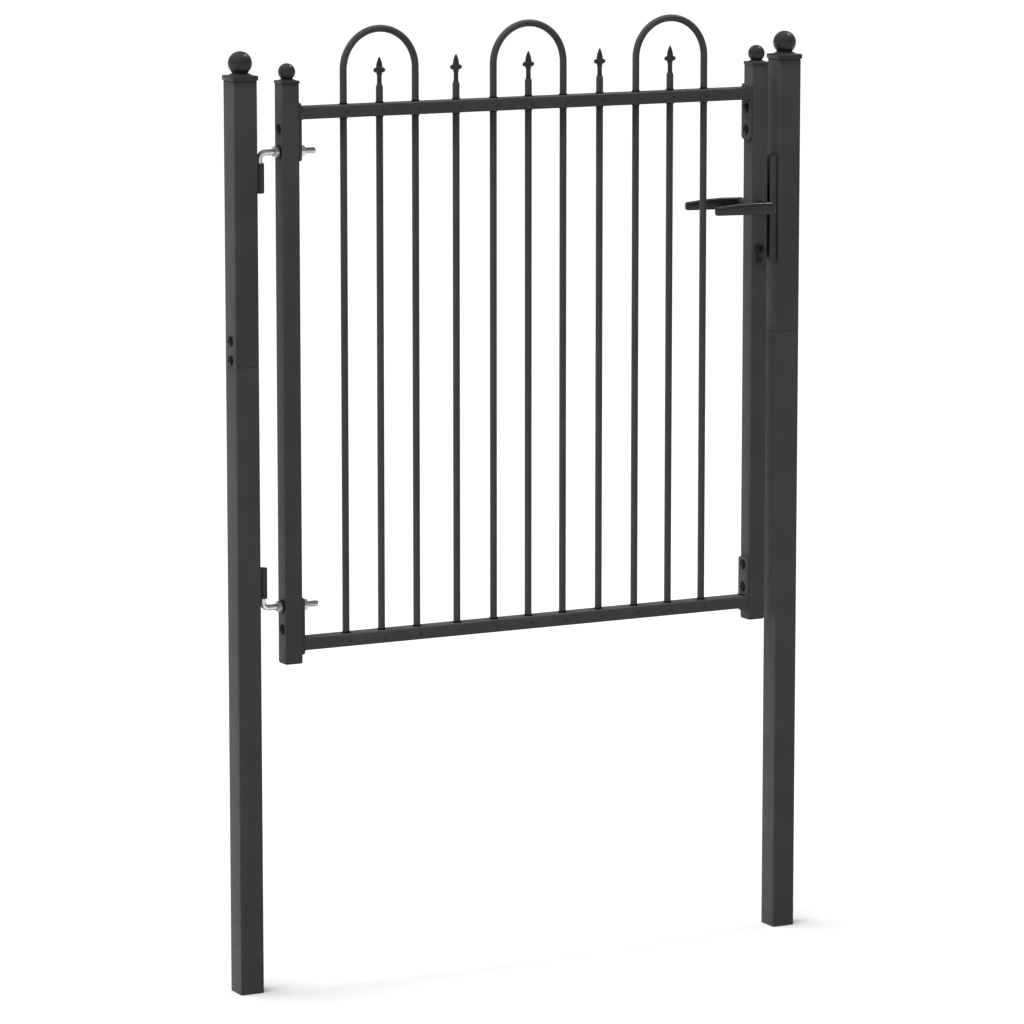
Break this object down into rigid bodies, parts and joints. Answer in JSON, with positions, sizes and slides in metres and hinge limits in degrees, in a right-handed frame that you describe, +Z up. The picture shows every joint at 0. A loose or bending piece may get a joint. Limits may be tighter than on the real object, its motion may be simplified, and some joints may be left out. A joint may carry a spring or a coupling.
{
  "type": "garden gate",
  "caption": "Single-leaf garden gate: a steel leaf with vertical bars, hoops and spear points, hung on bolt hinges between square posts, with a lever lock.",
  "frame": {"origin": "on the ground, midway between the posts' centres", "axes": "+Z up; +X from the hinge post to the lock post; the leaf opens towards -Y"},
  "size_m": [1.0488, 0.11, 1.5622],
  "materials": {
    "powder_coat": "fine-textured anthracite powder coat, satin",
    "zinc_plate": "bright zinc plate",
    "black_fixings": "black-finished screws and trim",
    "lever_enamel": "smooth dark enamel, semi-gloss",
    "lock_steel": "plain steel, lightly brushed",
    "cylinder_nickel": "dark nickel plate, satin"
  },
  "bodies": {
    "posts": {"hinge_post_lower": "powder_coat", "hinge_post_upper": "powder_coat", "hinge_post_cap": "powder_coat", "hinge_post_lower_screw": "black_fixings", "hinge_post_upper_screw": "black_fixings", "upper_hinge_barrel": "powder_coat", "lower_hinge_barrel": "powder_coat", "lock_post_lower": "powder_coat", "lock_post_upper": "powder_coat", "lock_post_cap": "powder_coat", "lock_post_lower_screw": "black_fixings", "lock_post_upper_screw": "black_fixings", "latch_keep": "powder_coat"},
    "leaf": {"bottom_rail": "powder_coat", "front_rosette": "black_fixings", "hinge_stile": "powder_coat", "hinge_stile_cap": "powder_coat", "hinge_stile_plug": "black_fixings", "hoop_1": "powder_coat", "hoop_2": "powder_coat", "hoop_3": "powder_coat", "lock_case": "lock_steel", "lock_cylinder": "cylinder_nickel", "lock_stile": "powder_coat", "lock_stile_cap": "powder_coat", "lock_stile_plug": "black_fixings", "lower_hinge_bolt": "zinc_plate", "lower_hinge_plate": "powder_coat", "lower_hinge_plate_screw": "black_fixings", "lower_inner_nut": "zinc_plate", "lower_lock_plate": "powder_coat", "lower_lock_plate_first_screw": "black_fixings", "lower_lock_plate_second_screw": "black_fixings", "lower_outer_nut": "zinc_plate", "picket_1": "powder_coat", "picket_2": "powder_coat", "picket_3": "powder_coat", "picket_4": "powder_coat", "picket_5": "powder_coat", "rear_rosette": "black_fixings", "spear_1": "powder_coat", "spear_2": "powder_coat", "spear_3": "powder_coat", "spear_4": "powder_coat", "spear_5": "powder_coat", "top_rail": "powder_coat", "upper_hinge_bolt": "zinc_plate", "upper_hinge_plate": "powder_coat", "upper_hinge_plate_screw": "black_fixings", "upper_inner_nut": "zinc_plate", "upper_lock_plate": "powder_coat", "upper_lock_plate_first_screw": "black_fixings", "upper_lock_plate_second_screw": "black_fixings", "upper_outer_nut": "zinc_plate"},
    "handle": {"front_lever": "lever_enamel", "rear_lever": "lever_enamel", "spindle": "lock_steel"},
    "latch": {"latch_bolt": "lock_steel"},
    "deadbolt": {"dead_bolt": "lock_steel"},
    "key_plug": {"cylinder_plug": "lock_steel"}
  },
  "joints": [
    {"name": "leaf_swing", "type": "hinge", "parent": "posts", "child": "leaf", "pos_m": [-0.468, 0, 0], "axis": [0, 0, -1], "range_deg": [0, 100]},
    {"name": "lever_turn", "type": "hinge", "parent": "leaf", "child": "handle", "pos_m": [0.4456, 0, 1.238], "axis": [0, -1, 0], "range_deg": [0, 40], "stiffness_Nm_per_rad": 1.6, "springref_deg": -17.19},
    {"name": "latch_slide", "type": "slide", "parent": "leaf", "child": "latch", "axis": [-1, 0, 0], "range_m": [0, 0.0082]},
    {"name": "key_turn", "type": "hinge", "parent": "leaf", "child": "key_plug", "pos_m": [0.4456, 0, 1.167], "axis": [0, 1, 0], "range_deg": [0, 360]},
    {"name": "deadbolt_slide", "type": "slide", "parent": "leaf", "child": "deadbolt", "axis": [1, 0, 0], "range_m": [0, 0.0142]}
  ],
  "couplings": [
    {"joint": "latch_slide", "follows": "lever_turn", "m_per_rad": 0.01146},
    {"joint": "deadbolt_slide", "follows": "key_turn", "m_per_rad": 0.002228}
  ]
}
